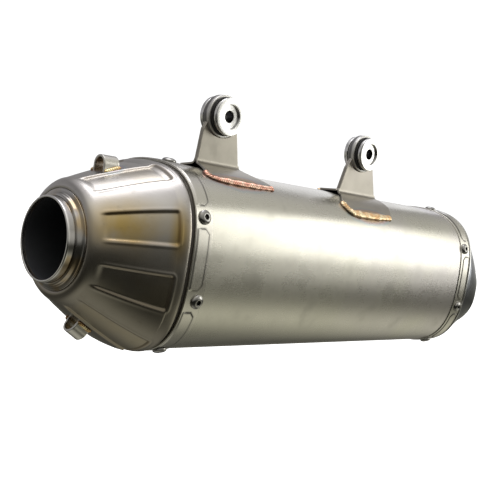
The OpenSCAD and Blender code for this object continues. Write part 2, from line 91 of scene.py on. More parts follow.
SLEEVE_LO, SLEEVE_HI = box_mm("outer_sleeve")
HALF, TOP, BOTTOM = SLEEVE_HI[1], SLEEVE_HI[2], -SLEEVE_LO[2]
TOP_POWER, BOTTOM_POWER = 2.65, 2.8
SHEET = 1.5
EYES = {end: sum(box_mm(end + "_bush_near")) / 2 for end in ("front", "rear")}
PIPE_END, _, PIPE_R = box_mm("inlet_pipe")[1]
BORE_R = PIPE_R - 1.5
OUT_LO, OUT_HI = box_mm("outlet_pipe")
OUT_R, OUT_Z = (OUT_HI[2] - OUT_LO[2]) / 2, (OUT_HI[2] + OUT_LO[2]) / 2
OUT_BORE_R = OUT_R - 1.4
TIP_LO, TIP_HI = box_mm("outlet_tip")
TIP_R = (TIP_HI[2] - TIP_LO[2]) / 2


def oval(angle, half, top, bottom):
    """Points y, z of the oval section at angles from +Y towards +Z."""
    c, s = np.abs(np.cos(angle)), np.abs(np.sin(angle))
    upper = (c / half) ** TOP_POWER + (s / top) ** TOP_POWER
    lower = (c / half) ** BOTTOM_POWER + (s / bottom) ** BOTTOM_POWER
    r = np.where(np.sin(angle) >= 0, upper ** (-1 / TOP_POWER), lower ** (-1 / BOTTOM_POWER))
    return r * np.cos(angle), r * np.sin(angle)


def sleeve_top(y):
    """Height of the sleeve's upper surface at y."""
    return TOP * (1 - np.abs(y / HALF) ** TOP_POWER) ** (1 / TOP_POWER)


def sleeve_low(y):
    """Height of the sleeve's lower surface at y."""
    return -BOTTOM * (1 - np.abs(y / HALF) ** BOTTOM_POWER) ** (1 / BOTTOM_POWER)


def half_oval(z):
    """Power and height of the half of the oval that holds z."""
    return (TOP_POWER, TOP) if z >= 0 else (BOTTOM_POWER, BOTTOM)


def sleeve_side(z):
    """Half width of the sleeve at a height z."""
    power, reach = half_oval(z)
    return HALF * (1 - abs(z / reach) ** power) ** (1 / power)


def sleeve_normal(y, z):
    """Outward unit normal [0, y, z] of the sleeve."""
    power, reach = half_oval(z)
    n = np.array([0, np.sign(y) * abs(y / HALF) ** (power - 1) / HALF,
                  np.sign(z) * abs(z / reach) ** (power - 1) / reach])
    return n / np.linalg.norm(n)


def smooth(t):
    t = np.clip(t, 0, 1)
    return t * t * (3 - 2 * t)


def around(count):
    return np.arange(count) * 2 * np.pi / count


def circle(r, angle):
    """Points y, z of a circle."""
    return r * np.cos(angle), r * np.sin(angle)


def section(x, y, z):
    """Points of the cross-section at x."""
    return np.stack([np.full(len(y), x), y, z], -1)


# ---- Mesh helpers ----

def add_piece(name, verts, faces, material, nodes, body="root", sharp=32, marks=None):
    """Makes a mesh piece from points in millimetres; marks are named values, one for each point."""
    mesh = bpy.data.meshes.new(name)
    mesh.from_pydata((np.asarray(verts, float) * MM).tolist(), [], faces)
    mesh.validate()
    for key, values in (marks or {}).items():
        attribute = mesh.attributes.new(key, "FLOAT", "POINT")
        attribute.data.foreach_set("value", np.asarray(values, np.float32))
    mesh.materials.append(material)
    mesh.shade_smooth()
    mesh.set_sharp_from_angle(angle=math.radians(sharp))
    piece = bpy.data.objects.new(name, mesh)
    bpy.context.collection.objects.link(piece)
    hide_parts(*nodes)
    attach(piece, body)
    return piece


def grid_faces(rows, cols, close_rows=False, close_cols=True):
    """Quads of a grid of points, row by row."""
    faces = []
    for j in range(rows if close_rows else rows - 1):
        k = (j + 1) % rows
        for i in range(cols if close_cols else cols - 1):
            m = (i + 1) % cols
            faces.append((j * cols + i, j * cols + m, k * cols + m, k * cols + i))
    return faces


def flip(faces):
    return [f[::-1] for f in faces]


def add_loft(name, rings, material, node, sharp=32, marks=None):
    """Closed skin through rings of points; each mark has one row of values for each ring."""
    faces = flip(grid_faces(len(rings), len(rings[0]), close_rows=True))
    add_piece(name, np.concatenate(rings), faces, material, [node], sharp=sharp,
              marks={key: np.concatenate(rows) for key, rows in (marks or {}).items()})


def rounded(points, radii, steps=4):
    """Closed outline with its corners rounded; radii has one radius for each corner."""
    out = []
    count = len(points)
    for i, (p, r) in enumerate(zip(points, radii)):
        p = np.array(p, float)
        a = np.array(points[i - 1], float) - p
        b = np.array(points[(i + 1) % count], float) - p
        la, lb = np.linalg.norm(a), np.linalg.norm(b)
        reach = min(r, la * 0.48, lb * 0.48)
        start, end = p + a / la * reach, p + b / lb * reach
        for t in np.linspace(0, 1, steps + 1):
            out.append((1 - t) ** 2 * start + 2 * t * (1 - t) * p + t * t * end)
    return np.array(out)


def join(parts):
    """One list of points and faces from several."""
    verts, faces, start = [], [], 0
    for v, f in parts:
        verts.append(np.asarray(v, float))
        faces += [tuple(i + start for i in face) for face in f]
        start += len(v)
    return np.concatenate(verts), faces


def thicken(piece, thickness, edge):
    """Makes a skin into a sheet, on the side away from its normals, with rounded edges."""
    solid = piece.modifiers.new("sheet", "SOLIDIFY")
    solid.thickness = thickness * MM
    solid.offset = -1
    rounding = piece.modifiers.new("bevel", "BEVEL")
    rounding.width = edge * MM
    rounding.segments = 3
    rounding.limit_method = "ANGLE"
    rounding.angle_limit = math.radians(50)
    return solid


# ---- Materials ----

class Nodes:
    """Small helper that builds a node tree."""

    def __init__(self, owner):
        owner.use_nodes = True
        self.tree = owner.node_tree
        self.tree.nodes.clear()

    def node(self, kind, inputs=None, **settings):
        made = self.tree.nodes.new("ShaderNode" + kind)
        for key, value in settings.items():
            setattr(made, key, value)
        for key, value in (inputs or {}).items():
            self.put(made.inputs[key], value)
        return made

    def put(self, socket, value):
        """Links an output to a socket, or sets the socket to a plain value."""
        if isinstance(value, bpy.types.NodeSocket):
            self.tree.links.new(value, socket)
        else:
            socket.default_value = value

    def math(self, operation, a, b=0.0, c=0.0):
        return self.node("Math", {0: a, 1: b, 2: c}, operation=operation).outputs[0]

    def times(self, a, b):
        return self.math("MULTIPLY", a, b)

    def line(self, value, slope, base):
        return self.math("MULTIPLY_ADD", value, slope, base)

    def ramp(self, value, stops):
        """Colour along a value; stops are [value, colour] in rising order."""
        made = self.node("ValToRGB", {0: value})
        bands = made.color_ramp
        while len(bands.elements) < len(stops):
            bands.elements.new(1.0)
        for element, (at, colour) in zip(bands.elements, stops):
            element.position = at
            element.color = (*colour, 1)
        return made.outputs[0]

    def mix(self, factor, a, b, blend="MIX"):
        made = self.node("Mix", data_type="RGBA", blend_type=blend)
        for key, value in ((0, factor), (6, a), (7, b)):
            self.put(made.inputs[key], (*value, 1) if isinstance(value, tuple) else value)
        return made.outputs[2]

    def between(self, value, lo, hi):
        """0 at lo and 1 at hi, smooth between them."""
        return self.node("MapRange", {0: value, 1: lo, 2: hi, 3: 0.0, 4: 1.0},
                         interpolation_type="SMOOTHSTEP").outputs[0]


class Paint(Nodes):
    """One procedural metal, rubber or wool, painted in the piece's own coordinates."""

    def __init__(self, name, metallic=1.0):
        self.material = bpy.data.materials.new(name)
        super().__init__(self.material)
        self.bsdf = self.node("BsdfPrincipled", {"Metallic": metallic})
        self.node("OutputMaterial", {0: self.bsdf.outputs[0]})
        self.place = self.node("TexCoord").outputs["Object"]

    def stretch(self, scale, centre):
        """The place from a centre, scaled along each axis, in millimetres."""
        shifted = self.node("VectorMath", {0: self.place, 1: [-c * MM for c in centre]}).outputs[0]
        return self.node("VectorMath", {0: shifted, 1: [s / MM for s in scale]},
                         operation="MULTIPLY").outputs[0]

    def noise(self, scale, detail=3.0, rough=0.5, stretch=(1, 1, 1), centre=(0, 0, 0)):
        """Noise from 0 to 1; scale is its size in millimetres."""
        where = self.stretch([s / scale for s in stretch], centre)
        return self.node("TexNoise", {"Vector": where, "Scale": 1.0, "Detail": detail,
                                      "Roughness": rough}).outputs[0]

    def mark(self, name):
        return self.node("Attribute", attribute_name=name).outputs["Fac"]

    def split(self):
        """The place's x, y and z, in metres."""
        return self.node("SeparateXYZ", {0: self.place}).outputs

    def near(self, centre, reach):
        """1 at a centre, falling to 0 at the reach along each axis, all in millimetres."""
        where = self.stretch([1 / r for r in reach], centre)
        length = self.node("VectorMath", {0: where}, operation="LENGTH").outputs["Value"]
        return self.between(length, 1.0, 0.0)

    def finish(self, colour, rough, bumps=()):
        """Colour and roughness, and bumps as [height, strength, distance in millimetres]."""
        self.put(self.bsdf.inputs["Base Color"], colour)
        self.put(self.bsdf.inputs["Roughness"], rough)
        normal = None
        for height, strength, distance in bumps:
            bump = self.node("Bump", {"Height": height, "Strength": strength, "Distance": distance * MM})
            if normal:
                self.put(bump.inputs["Normal"], normal)
            normal = bump.outputs[0]
            self.put(self.bsdf.inputs["Normal"], normal)
        return self.material


def shade(base, factor):
    return tuple(c * factor for c in base)


def heat_halo(paint, colour, centre, reach, strength):
    """Oxide colours round a weld: straw, brown, purple, then blue as they fade outwards."""
    heat = paint.math("SUBTRACT", paint.near(centre, reach), 0.17)
    heat = paint.line(paint.noise(9, 4), 0.35, heat)
    tint = paint.ramp(heat, [(0.0, (1, 1, 1)), (0.16, (1, 1, 1)), (0.3, (0.80, 0.92, 1.02)),
                             (0.45, (0.92, 0.80, 0.92)), (0.6, (1.0, 0.78, 0.66)),
                             (0.8, (0.95, 0.76, 0.5)), (1.0, (0.7, 0.5, 0.32))])
    return paint.mix(strength, colour, tint, "MULTIPLY")


def satin(name, base, rough, grain=(0.04, 1, 1), halos=(), spread=0.06, painted_tent_shade=()):
    """Satin sheet metal with fine grain, slow colour changes, faint scratches and smudges; the patches
    given last are painted near black as painted shade.
    """
    paint = Paint(name)
    slow = paint.noise(38, 3, 0.55)
    fine = paint.noise(0.35, 3, 0.6, grain)
    smudge = paint.noise(20, 3, 0.55)
    scratch = paint.noise(1.1, 2, 0.5, (0.03, 1, 1.3))
    colour = paint.mix(slow, shade(base, 1 - spread), shade(base, 1 + spread))
    rearward = paint.between(paint.split()[0], 0.10, 0.40)
    hue = paint.times(rearward, paint.between(paint.noise(60, 2), 0.35, 0.6))
    colour = paint.mix(hue, colour, (0.97, 0.95, 1.04), "MULTIPLY")
    for halo in halos:
        colour = heat_halo(paint, colour, *halo)
    # near-black painted shade on the sleeve under and beside the hanger tents
    for centre, reach in painted_tent_shade:
        tent_shade_mask = paint.between(paint.near(centre, reach), 0.15, 0.45)
        colour = paint.mix(tent_shade_mask, colour, (0.05, 0.044, 0.04))
    dull = paint.mix(0.35, colour, shade(base, 0.62))
    colour = paint.mix(paint.between(smudge, 0.56, 0.78), colour, dull)
    roughness = paint.line(fine, 0.06, paint.line(smudge, 0.12, rough - 0.06))
    return paint.finish(colour, roughness,
                        [(slow, 0.25, 0.35), (fine, 0.07, 0.02), (scratch, 0.07, 0.02)])


def cone_paint():
    """Satin cone, straw to brown round the stamped panels; painted shade darkens its lower half, the
    lower panels with it, and lays a dark line along the panel rims.
    """
    paint = Paint("cone_satin")
    slow, smudge = paint.noise(26, 3, 0.55), paint.noise(9, 5, 0.7)
    fine = paint.noise(0.35, 3, 0.6, (0.06, 1, 1))
    recess, edge = paint.mark("recess"), paint.mark("edge")
    colour = paint.mix(slow, (0.47, 0.45, 0.43), (0.58, 0.56, 0.54))
    # painted shade: darker and browner towards the bottom
    painted_low_shade = paint.between(paint.split()[2], 0.030, -0.030)
    colour = paint.mix(paint.times(painted_low_shade, 0.7), colour, (0.27, 0.24, 0.18))
    stain_and_painted_light = paint.times(recess, paint.between(slow, 0.3, 0.6))
    colour = paint.mix(paint.times(stain_and_painted_light, 0.35), colour, (0.42, 0.35, 0.21))
    gold = paint.near((24, -42, 15), (34, 28, 27))
    ring = paint.near((58, -50, 14), (9, 16, 26))
    tint = paint.math("MAXIMUM", paint.times(gold, paint.between(slow, 0.2, 0.65)), ring)
    colour = paint.mix(paint.times(tint, 0.95), colour, (0.47, 0.33, 0.10))
    # painted shade: a dark line along the panel rims, stronger where the straw tint lies
    wear_and_rim_shade = paint.times(edge, paint.line(tint, 0.6, 0.3))
    colour = paint.mix(wear_and_rim_shade, colour, (0.26, 0.17, 0.07))
    for centre in ((36, 0, 47), (31, 0, -50)):
        colour = heat_halo(paint, colour, centre, (17, 17, 14), 0.9)
    dull = paint.mix(0.4, colour, (0.2, 0.17, 0.12))
    colour = paint.mix(paint.between(smudge, 0.55, 0.8), colour, dull)
    roughness = paint.line(fine, 0.05, paint.line(smudge, 0.14, 0.21))
    return paint.finish(colour, roughness, [(slow, 0.3, 0.35), (fine, 0.12, 0.02)])


def two_tone(name, dark, light, slow, grit, rough, bumps, stain_and_painted_light=None, fine=None):
    """Metal whose colour drifts between two tones. slow, grit and fine are noises, rough is how far
    the grit raises a base roughness, and the argument after bumps is [mark, strength, colour]: painted
    shade or a painted highlight laid on the marked points."""
    paint = Paint(name)
    noises = {"slow": paint.noise(*slow), "grit": paint.noise(*grit)}
    if fine:
        noises["fine"] = paint.noise(*fine)
    colour = paint.mix(noises["slow"], dark, light)
    if stain_and_painted_light:
        mark, strength, tint = stain_and_painted_light
        colour = paint.mix(paint.times(paint.mark(mark), strength), colour, tint)
    return paint.finish(colour, paint.line(noises["grit"], *rough),
                        [(noises[key], *bump) for key, *bump in bumps])


def pipe_paint(name, axis_z, soot_from, soot_to, inner_r):
    """Polished pipe, straw-tinted outside, with a painted highlight on its lip, and soot inside that
    darkens further into the bore as painted shade.
    """
    paint = Paint(name)
    x, y, z = paint.split()
    z = paint.math("SUBTRACT", z, axis_z * MM)
    r = paint.math("SQRT", paint.line(y, y, paint.times(z, z)))
    inside = paint.math("LESS_THAN", r, (inner_r + 0.35) * MM)
    depth = paint.between(x, soot_from * MM, soot_to * MM)
    slow, smudge = paint.noise(14, 3), paint.noise(4, 5, 0.7)
    fine = paint.noise(0.5, 3, 0.6, (1, 0.1, 0.1))
    # soot inside the bore, with painted shade deepening further in
    soot_and_bore_shade = paint.between(paint.times(inside, paint.line(smudge, 0.25, depth)), 0.0, 0.35)
    straw = paint.between(paint.noise(17, 2, 0.5, centre=(5, 3, 9)), 0.42, 0.62)
    colour = paint.mix(slow, (0.42, 0.405, 0.39), (0.56, 0.545, 0.53))
    colour = paint.mix(paint.times(straw, 0.7), colour, (0.40, 0.28, 0.12))
    # painted highlight: the lip is painted near white
    lip_highlight = paint.between(x, (soot_from + 0.9) * MM, (soot_from - 0.2) * MM)
    colour = paint.mix(paint.times(lip_highlight, 0.8), colour, (0.86, 0.85, 0.84))
    colour = paint.mix(soot_and_bore_shade, colour, (0.125, 0.13, 0.145))
    roughness = paint.line(soot_and_bore_shade, 0.5, paint.line(smudge, 0.1, 0.10))
    return paint.finish(colour, roughness, [(fine, 0.12, 0.02), (smudge, 0.06, 0.05)])


def ring_paint():
    """Dark, slightly rough collar with worn bright corners."""
    paint = Paint("ring_steel")
    slow, grit = paint.noise(8, 3), paint.noise(0.45, 4, 0.65)
    wear_and_rim_shade = paint.between(paint.line(slow, 0.5, paint.mark("edge")), 0.62, 1.0)
    colour = paint.mix(slow, (0.16, 0.16, 0.165), (0.27, 0.265, 0.26))
    colour = paint.mix(wear_and_rim_shade, colour, (0.72, 0.71, 0.69))
    return paint.finish(colour, paint.line(grit, 0.25, 0.28), [(grit, 0.35, 0.06), (slow, 0.2, 0.1)])


def rubber_paint():
    """Black rubber with dust in patches."""
    paint = Paint("rubber", metallic=0.0)
    slow, grit = paint.noise(5, 3), paint.noise(0.3, 4, 0.7)
    dust = paint.between(slow, 0.55, 0.8)
    colour = paint.mix(grit, (0.010, 0.010, 0.011), (0.026, 0.026, 0.027))
    colour = paint.mix(paint.times(dust, 0.35), colour, (0.07, 0.068, 0.064))
    return paint.finish(colour, paint.line(grit, 0.3, 0.5), [(grit, 0.35, 0.05), (slow, 0.15, 0.1)])


def bush_paint(name, centre):
    """Bright machined aluminium with turning marks about the bolt's axis; its groove, counterbore wall
    and bore are painted near black as painted shade.
    """
    paint = Paint(name)
    where = paint.stretch((1, 0, 1), centre)
    r = paint.node("VectorMath", {0: where}, operation="LENGTH").outputs["Value"]
    rings = paint.node("TexNoise", {"W": paint.times(r, 5.0), "Detail": 2.0},
                       noise_dimensions="1D").outputs[0]
    slow, smudge = paint.noise(7, 3), paint.noise(2.5, 4, 0.7)
    colour = paint.mix(slow, (0.80, 0.80, 0.80), (0.92, 0.92, 0.915))
    dirt = paint.between(paint.noise(3.2, 4, 0.7, centre=(3, 1, 2)), 0.60, 0.74)
    colour = paint.mix(paint.times(dirt, 0.5), colour, (0.30, 0.29, 0.27))
    # painted shade: the marked groove, counterbore wall and bore are painted near black
    colour = paint.mix(paint.times(paint.mark("edge"), 0.85), colour, (0.10, 0.10, 0.105))
    return paint.finish(colour, paint.line(smudge, 0.12, 0.14), [(rings, 0.22, 0.03), (slow, 0.1, 0.05)])


def weld_paint(name, pale, deep):
    """Heat-coloured weld bead: pale crests, deep copper and purple between the ripples."""
    paint = Paint(name)
    slow, fine = paint.noise(5, 3), paint.noise(0.5, 3)
    colour = paint.mix(paint.between(slow, 0.35, 0.65), pale, deep)
    colour = paint.mix(paint.times(paint.mark("ripple"), 0.55), colour, shade(deep, 0.35))
    colour = paint.mix(paint.times(paint.mark("rim"), 0.8), colour, (0.16, 0.09, 0.07))
    return paint.finish(colour, paint.line(fine, 0.15, 0.16), [(fine, 0.2, 0.04)])


def wool_paint():
    """Matted glass-fibre wool."""
    paint = Paint("glass_wool", metallic=0.0)
    strands, slow = paint.noise(1.4, 6, 0.75, (0.2, 1, 1)), paint.noise(18, 3)
    colour = paint.mix(strands, (0.52, 0.46, 0.30), (0.86, 0.82, 0.68))
    colour = paint.mix(paint.between(slow, 0.5, 0.8), colour, (0.34, 0.28, 0.18))
    return paint.finish(colour, 0.95, [(strands, 0.8, 0.8)])


FRONT_WELD = (118, -31, 50)
REAR_WELD = (252, -42, 42)

# Warm greys of the sheet metal, as reflectance
SLEEVE_GREY = (0.66, 0.645, 0.58)
BAND_GREY = (0.66, 0.64, 0.585)
HANGER_GREY = (0.43, 0.405, 0.355)
HOOK_GREY = (0.72, 0.70, 0.65)

SLEEVE = satin("sleeve_satin", SLEEVE_GREY, 0.25, halos=[
    (FRONT_WELD, (46, 15, 14), 0.75), (REAR_WELD, (42, 13, 12), 0.9),
    ((122, 17, 55), (36, 12, 12), 0.6), ((262, 3, 56), (36, 12, 12), 0.6)],
    # the last two patches are painted shade under the front and rear hanger tents
    painted_tent_shade=[((112, -5, 56), (33, 18, 20)), ((250, -10, 55), (33, 22, 20))])
HANGER = satin("hanger_satin", HANGER_GREY, 0.34, (1, 0.08, 0.08), halos=[
    (FRONT_WELD, (40, 9, 9), 0.8), (REAR_WELD, (38, 9, 9), 0.8)], spread=0.09)
HOOK = satin("hook_satin", HOOK_GREY, 0.22, (0.1, 1, 1), spread=0.12)
CONE = cone_paint()
# the band's pressed panel edges are painted near black as painted shade; the cap's rolled rim is painted
# near white as a painted highlight; the hangers' hidden underside is painted near black as painted shade
# inside the tent
BAND = two_tone("band_satin", shade(BAND_GREY, 0.94), shade(BAND_GREY, 1.06), (20, 3, 0.5),
                (6, 5, 0.7), (0.16, 0.17), [("slow", 0.2, 0.2), ("fine", 0.1, 0.015)],
                ("edge", 0.93, (0.045, 0.042, 0.038)), (0.3, 3, 0.6, (1, 0.05, 0.05)))
# the cap's marked rolled rim is painted near white as a painted highlight
CAP = two_tone("cap_dark", (0.22, 0.235, 0.27), (0.33, 0.34, 0.37), (22, 3, 0.5), (7, 5, 0.7),
               (0.12, 0.12), [("slow", 0.2, 0.25), ("fine", 0.06, 0.01)],
               ("edge", 1.0, (0.80, 0.80, 0.80)), (0.3, 2, 0.5))
# the marked sockets are painted near black as painted shade
SCREW = two_tone("screw_steel", (0.30, 0.295, 0.285), (0.48, 0.47, 0.455), (3, 3), (1.2, 4, 0.7),
                 (0.14, 0.12), [("grit", 0.12, 0.03)], ("socket", 1.0, (0.06, 0.058, 0.055)))
# near-black painted shade for the inside of the hanger tents
TENT_UNDERSIDE_SHADE = two_tone("tent_underside_painted_shade", (0.030, 0.028, 0.028), (0.085, 0.075, 0.066), (6, 4),
                 (0.6, 4, 0.65), (0.25, 0.45), [("grit", 0.3, 0.05)])
MILL = two_tone("mill_steel", (0.30, 0.285, 0.265), (0.44, 0.42, 0.40), (15, 4), (0.8, 4, 0.65),
                (0.2, 0.34), [("grit", 0.3, 0.05)])
INLET_PIPE = pipe_paint("inlet_pipe_steel", 0, 0.8, 9, BORE_R)
OUTLET_PIPE = pipe_paint("outlet_pipe_steel", OUT_Z, 380, 400, OUT_BORE_R)
RING = ring_paint()
RUBBER = rubber_paint()
FRONT_BEAD = weld_paint("front_weld_copper", (0.78, 0.55, 0.42), (0.60, 0.30, 0.22))
REAR_BEAD = weld_paint("rear_weld_gold", (0.98, 0.84, 0.58), (0.88, 0.56, 0.30))
HOOK_BEAD = weld_paint("hook_weld_gold", (0.98, 0.86, 0.52), (0.62, 0.40, 0.18))
WOOL = wool_paint()

# ---- Sleeve ----

SLEEVE_COUNT = 256


def sleeve_rings(stations, grow):
    angle = around(SLEEVE_COUNT)
    y, z = oval(angle, HALF + grow, TOP + grow, BOTTOM + grow)
    return [section(x, y, z) for x in stations]


def make_sleeve():
    """Rolled sleeve, one millimetre thick, with a fine eased edge at both ends."""
    x0, x1 = SLEEVE_LO[0], SLEEVE_HI[0]
    ease = 0.25
    outer = sleeve_rings([x0 + ease, *np.linspace(x0 + 20, x1 - 20, 14), x1 - ease], 0)
    back = sleeve_rings([x1], -ease) + sleeve_rings([x1], -1 + ease)
    inner = sleeve_rings([x1 - ease, x0 + ease], -1)
    front = sleeve_rings([x0], -1 + ease) + sleeve_rings([x0], -ease)
    add_loft("outer_sleeve_shell", outer + back + inner + front, SLEEVE, "outer_sleeve")


make_sleeve()

# ---- Screws ----

BAND_RISE = 0.65
# how far the two near screws stand from the others along X
SCREW_SHIFTS = (-0.5, 2.5)


def screw_spots():
    """Offset along X, y, z and outward normal of a band's seven screws, from the top one."""
    spots = [(0, -10, sleeve_top(-10)), (SCREW_SHIFTS[0], -sleeve_side(26), 26),
             (SCREW_SHIFTS[1], -sleeve_side(-25), -25), (0, -28.4, sleeve_low(-28.4)),
             (0, 27.5, sleeve_low(27.5)), (0, sleeve_side(-13.3), -13.3),
             (0, sleeve_side(41.3), 41.3)]
    return [(dx, y, z, sleeve_normal(y, z)) for dx, y, z in spots]


def screw_shape():
    """Button head with a hexagon socket: rings from the seat over the crown into the socket."""
    count = 72
    angle = around(count)
    head_r, head_h, socket_half, socket_depth = 4.5, 2.1, 1.5, 1.5
    hexagon = socket_half / np.cos((angle % (np.pi / 3)) - np.pi / 6)
    crown = [(head_r * math.cos(t), 0.55 + (head_h - 0.55) * math.sin(t) / math.sin(1.05))
             for t in np.linspace(0, 1.05, 9)]
    rows = [(np.full(count, 2.5), -8.0), (np.full(count, 2.5), 0.0),
            (np.full(count, head_r - 0.15), 0.0), (np.full(count, head_r), 0.18)]
    rows += [(np.full(count, r), h) for r, h in crown]
    rows += [(hexagon + 0.35, head_h), (hexagon + 0.08, head_h - 0.10), (hexagon, head_h - 0.35),
             (hexagon, head_h - socket_depth), (hexagon * 0.5, head_h - socket_depth - 0.35),
             (hexagon * 0.02, head_h - socket_depth - 0.5)]
    verts = np.concatenate([np.stack([*circle(r, angle), np.full(count, h)], -1) for r, h in rows])
    # the socket's walls and floor are marked for near-black painted shade
    socket = np.concatenate([np.full(count, 1.0 if j >= len(rows) - 4 else 0.0)
                             for j in range(len(rows))])
    faces = grid_faces(len(rows), count)
    faces.append(tuple(range(count))[::-1])
    faces.append(tuple((len(rows) - 1) * count + i for i in range(count)))
    return verts, faces, socket


def make_screws(name, node):
    lo, hi = box_mm(node)
    band_x = (lo[0] + hi[0]) / 2 - sum(SCREW_SHIFTS) / 2
    verts, faces, socket = screw_shape()
    parts, marks = [], []
    for turn, (dx, y, z, n) in enumerate(screw_spots()):
        across = np.cross([1, 0, 0], n)
        spin = 0.35 + 0.8 * turn
        u = math.cos(spin) * np.array([1.0, 0, 0]) + math.sin(spin) * across
        v = np.cross(n, u)
        seat = np.array([band_x + dx, y, z]) + n * (BAND_RISE + 0.05)
        parts.append((seat + verts @ np.stack([u, v, n]), faces))
        marks.append(socket)
    v, f = join(parts)
    add_piece(name, v, f, SCREW, [node], sharp=28,
              marks={"socket": np.concatenate(marks)})


for end in ("inlet", "outlet"):
    make_screws(end + "_button_screws", end + "_screws")

# ---- Clamp bands ----

BAND_COUNT = 900
PANEL_RISE = 0.35
PANEL_STEP = 0.55
SCREW_FLAT = 7.2
PANEL_HEM = 3.4
PANEL_CORNER = 3.0


def arc_length(y, z):
    """Length along a closed outline up to each point, and its whole length."""
    step = np.hypot(np.diff(np.append(y, y[0])), np.diff(np.append(z, z[0])))
    return np.concatenate([[0], np.cumsum(step)[:-1]]), step.sum()


def make_band(name, node, mirrored):
    """Strap with rolled edges and a panel pressed out between each pair of screws."""
    lo, hi = box_mm(node)
    x0, x1 = lo[0], hi[0]
    width = x1 - x0
    angle = around(BAND_COUNT)
    y, z = oval(angle, HALF, TOP, BOTTOM)
    length, whole = arc_length(y, z)
    screws = [length[np.argmin(np.hypot(y - sy, z - sz))] for _, sy, sz, _ in screw_spots()]
    reach = np.where(z > 0, TOP, BOTTOM)
    ny = np.sign(y) * np.abs(y / HALF) ** 1.7 / HALF
    nz = np.sign(z) * np.abs(z / reach) ** 1.7 / reach
    ny, nz = ny / np.hypot(ny, nz), nz / np.hypot(ny, nz)
    rim = 0.35
    across = np.concatenate([[0, 0.12, rim], np.linspace(rim + 0.25, width - rim - 0.25, 44),
                             [width - rim, width - 0.12, width]])
    rings, edges = [], []
    for a in across:
        place = width - a if mirrored else a
        away = np.full(BAND_COUNT, 1e9)
        for at in screws:
            gap = np.abs((length - at + whole / 2) % whole - whole / 2)
            away = np.minimum(away, gap)
        # distance inside the panel: from the screw flats, from both rims, and a cut corner
        hem = width - PANEL_HEM - place
        inside = np.minimum(away - SCREW_FLAT, hem)
        inside = np.minimum(inside, (away - SCREW_FLAT + hem - PANEL_CORNER) * math.sqrt(0.5))
        step = smooth(inside / PANEL_STEP + 0.5) * smooth((place - 0.6) / 1.6)
        # edge marks the panel step, which the band's paint makes a near-black line of painted shade
        edge = np.exp(-((inside + 0.1) / 0.7) ** 2) * smooth((place - 1.0) / 4)
        roll = rim - math.sqrt(max(rim ** 2 - max(rim - min(a, width - a), 0) ** 2, 0))
        height = BAND_RISE - roll + PANEL_RISE * step
        rings.append(section(x0 + a, y + ny * height, z + nz * height))
        edges.append(edge)
    for a in (width, 0):
        rings.append(section(x0 + a, y + ny * 0.05, z + nz * 0.05))
        edges.append(np.zeros(BAND_COUNT))
    add_loft(name, rings, BAND, node, 60, {"edge": edges})


for end in ("inlet", "outlet"):
    make_band(end + "_clamp_band", end + "_band", end == "outlet")

# ---- Inlet cone ----

CONE_COUNT = 480
NECK_X, FLARE_X = 13.0, 57.0
NECK_R = 37.2
CONE_WALL = 1.3
# Shoulder and rim: x, how far the sides stand out from the sleeve, and the same on top
SHOULDER = ((57.0, -0.3, -4.5), (59.5, 0.4, -2.8), (61.3, 0.85, -1.9), (62.8, 1.15, -1.3),
            (63.9, 1.2, -1.0), (64.7, 0.95, -1.1), (65.3, 0.4, -1.5), (65.7, -0.4, -2.0))
LIP = ((8.6, 31.0), (8.55, 31.9), (8.8, 32.8), (9.4, 34.1), (10.2, 35.2), (11.3, 36.15), (12.2, 36.75))
PANEL_DEPTH = 1.2
# Stamped panels: middle angle up from the near side at the neck and at the flare, half angle at
# both, and the x where the panel ends
NEAR_PANELS = ((68.5, 63.5, 13.0, 11.5, 60.5), (21.0, 19.2, 12.0, 11.0, 57.4),
               (-23.0, -21.5, 11.2, 11.0, 57.4), (-66.0, -64.0, 12.5, 11.5, 58.5))


def cone_section(x, angle, inset=0.0):
    """Points y, z of the smooth cone at x: a circle that grows into the oval."""
    u = (x - NECK_X) / (FLARE_X - NECK_X)
    w = 1 - (1 - u) ** 1.12
    y, z = oval(angle, HALF - 0.3 - inset, TOP - 4.5 - inset, BOTTOM + 0.6 - inset)
    neck_y, neck_z = circle(NECK_R - inset, angle)
    return neck_y * (1 - w) + y * w, neck_z * (1 - w) + z * w


def panel_inside(x, angle, r):
    """Distance in millimetres inside the nearest stamped panel, below zero outside it."""
    from_near = np.arctan2(np.sin(angle), -np.cos(angle))
    from_far = np.arctan2(np.sin(angle), np.cos(angle))
    best = np.full_like(angle, -1e9)
    start, corner = 1.0, 2.0
    share = (x - NECK_X) / (FLARE_X - NECK_X)
    for middle_a, middle_b, half_a, half_b, end in NEAR_PANELS:
        middle = math.radians(middle_a + (middle_b - middle_a) * share)
        half = math.radians(half_a + (half_b - half_a) * share)
        along = max(start + corner - x, x - (end - corner))
        for turn in (from_near, from_far):
            side = np.abs(turn - middle) * r - (half * r - corner)
            outside = np.hypot(np.maximum(side, 0), max(along, 0))
            best = np.maximum(best, corner - outside - np.minimum(np.maximum(side, along), 0))
    return best


